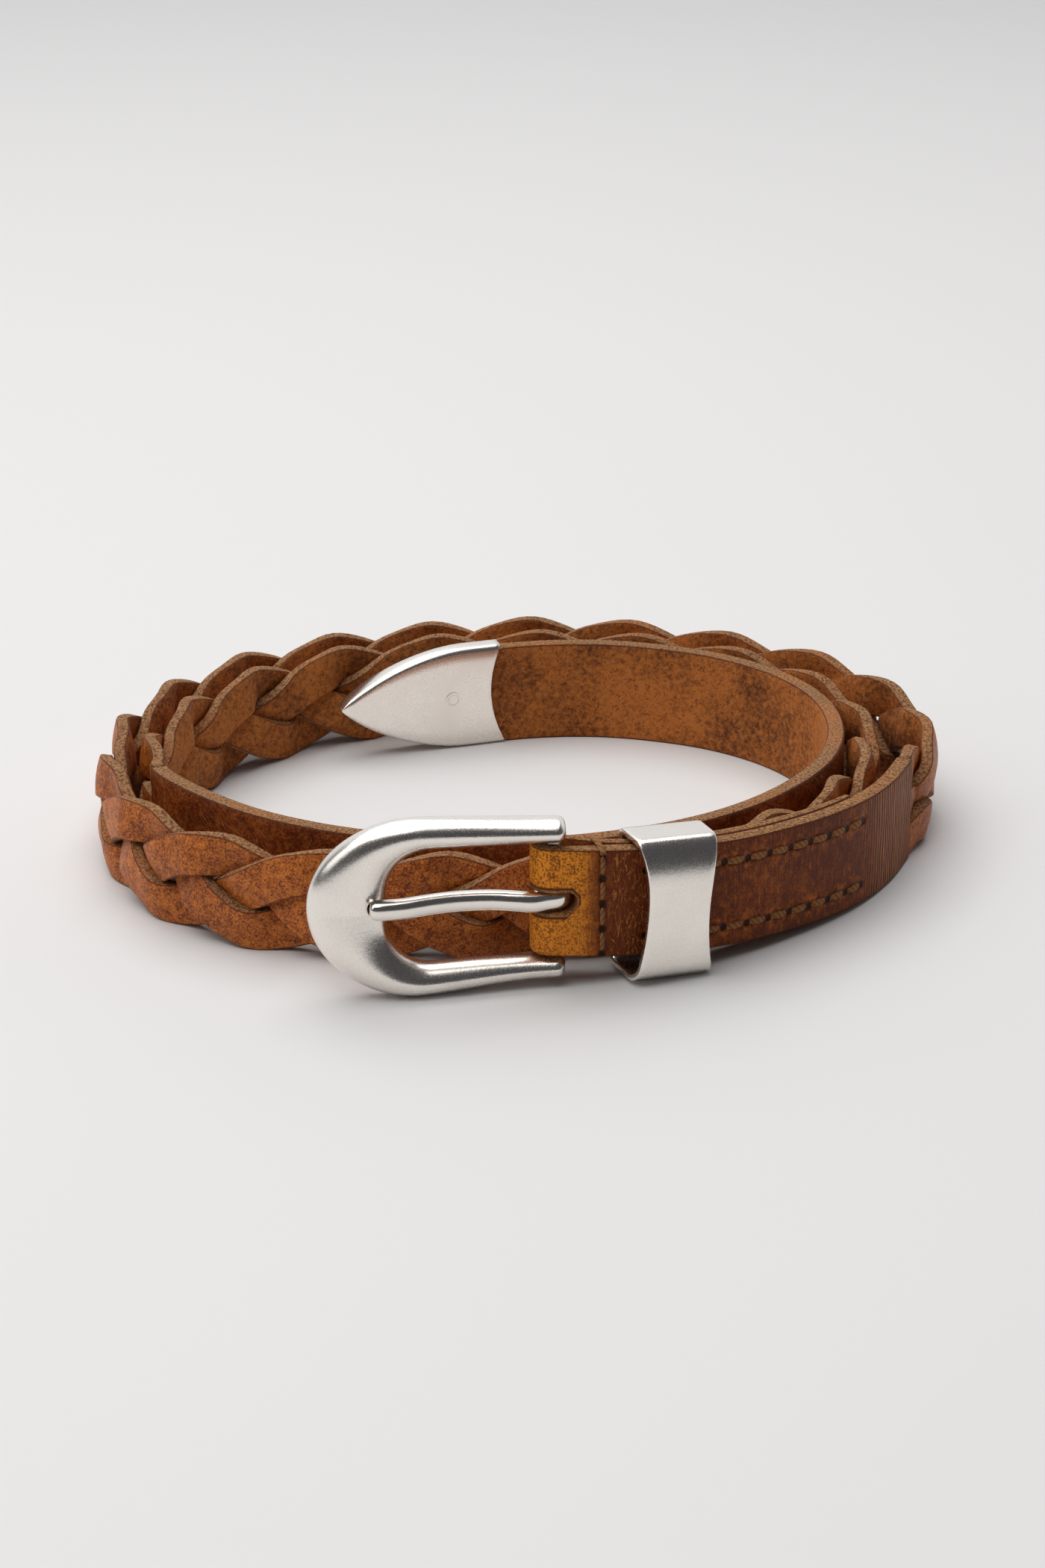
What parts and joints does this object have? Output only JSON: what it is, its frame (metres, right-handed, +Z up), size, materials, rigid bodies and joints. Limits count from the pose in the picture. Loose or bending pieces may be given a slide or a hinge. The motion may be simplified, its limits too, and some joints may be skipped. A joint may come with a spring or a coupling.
{
  "type": "braided leather belt",
  "caption": "Slim belt, woven leather band with a plain tab and tail, D-shaped buckle with prong, sliding keeper and pointed metal tip, coiled on its edge.",
  "frame": {"origin": "centre of the rolled belt's footprint, on the surface that it stands on", "axes": "+Z up, across the strap's width; +X to the right with the buckle facing the viewer at -Y"},
  "size_m": [0.1588, 0.1422, 0.032],
  "materials": {
    "strap_leather": "cognac brown, semi-matt, pull-up grain with light raw cut edges",
    "nickel": "satin nickel plate on cast zinc",
    "thread": "waxed tan thread"
  },
  "bodies": {
    "strap": {"buckle_tab": "strap_leather", "braid_strand_1": "strap_leather", "braid_strand_2": "strap_leather", "braid_strand_3": "strap_leather", "tail_strap": "strap_leather", "tip_shell": "nickel", "tip_rivet": "nickel", "cross_stitch": "thread", "upper_stitch_row": "thread", "lower_stitch_row": "thread"},
    "buckle": {"buckle_frame": "nickel", "buckle_bar": "nickel"},
    "prong": {"prong": "nickel"},
    "keeper": {"keeper": "nickel"}
  },
  "joints": [
    {"name": "buckle_hinge", "type": "hinge", "parent": "strap", "child": "buckle", "pos_m": [0.00558, -0.06269, 0.016], "axis": [0, 0, 1], "range_deg": [0, 45]},
    {"name": "prong_hinge", "type": "hinge", "parent": "buckle", "child": "prong", "pos_m": [0.00558, -0.06269, 0.016], "axis": [0, 0, 1], "range_deg": [0, 60]},
    {"name": "keeper_slide", "type": "slide", "parent": "strap", "child": "keeper", "axis": [0.918, 0.387, -0.0872], "range_m": [-0.002, 0.005]}
  ]
}
